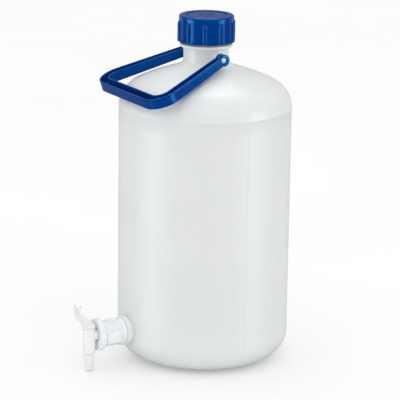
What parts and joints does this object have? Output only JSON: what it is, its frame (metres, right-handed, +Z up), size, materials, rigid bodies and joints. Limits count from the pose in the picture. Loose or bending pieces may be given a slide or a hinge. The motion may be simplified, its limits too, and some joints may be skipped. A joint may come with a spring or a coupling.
{
  "type": "detergent dispenser bottle",
  "caption": "Tall round translucent plastic bottle with a ribbed blue screw cap, a swinging blue bail handle on the neck and a white lever tap near the base.",
  "frame": {"origin": "on the bottle's axis, on the flat pad in the middle of its base", "axes": "+Z up along the bottle's axis; -Y from the axis towards the tap; X along the handle's pivots"},
  "size_m": [0.209, 0.279, 0.4226],
  "materials": {
    "natural_polyethylene": "milky translucent, satin",
    "blue_polypropylene": "satin gloss",
    "white_polypropylene": "satin gloss",
    "milky_polypropylene": "slightly translucent gloss",
    "liner_foam": "soft closed-cell foam",
    "seal_rubber": "matt"
  },
  "bodies": {
    "bottle": {"bottle_body": "natural_polyethylene", "union_nut": "white_polypropylene", "tap_gasket": "seal_rubber", "tap_body": "milky_polypropylene"},
    "liner": {"cap_liner": "liner_foam"},
    "cap": {"screw_cap": "blue_polypropylene"},
    "handle": {"carrying_handle": "blue_polypropylene"},
    "tap_cock": {"tap_plug": "milky_polypropylene", "tap_lever": "milky_polypropylene", "plug_oring_upper": "seal_rubber", "plug_oring_lower": "seal_rubber"}
  },
  "joints": [
    {"name": "cap_lift", "type": "slide", "parent": "bottle", "child": "liner", "axis": [0, 0, 1], "range_m": [0, 0.01201]},
    {"name": "cap_turn", "type": "hinge", "parent": "liner", "child": "cap", "pos_m": [0, 0, 0.3905], "axis": [0, 0, 1], "range_deg": [0, 720]},
    {"name": "handle_swing", "type": "hinge", "parent": "bottle", "child": "handle", "pos_m": [0, 0, 0.374], "axis": [-1, 0, 0], "range_deg": [0, 219]},
    {"name": "tap_turn", "type": "hinge", "parent": "bottle", "child": "tap_cock", "pos_m": [0, -0.156, 0.044], "axis": [0, 0, 1], "range_deg": [-90, 90]}
  ],
  "couplings": [
    {"joint": "cap_lift", "follows": "cap_turn", "m_per_rad": 0.00095493}
  ]
}
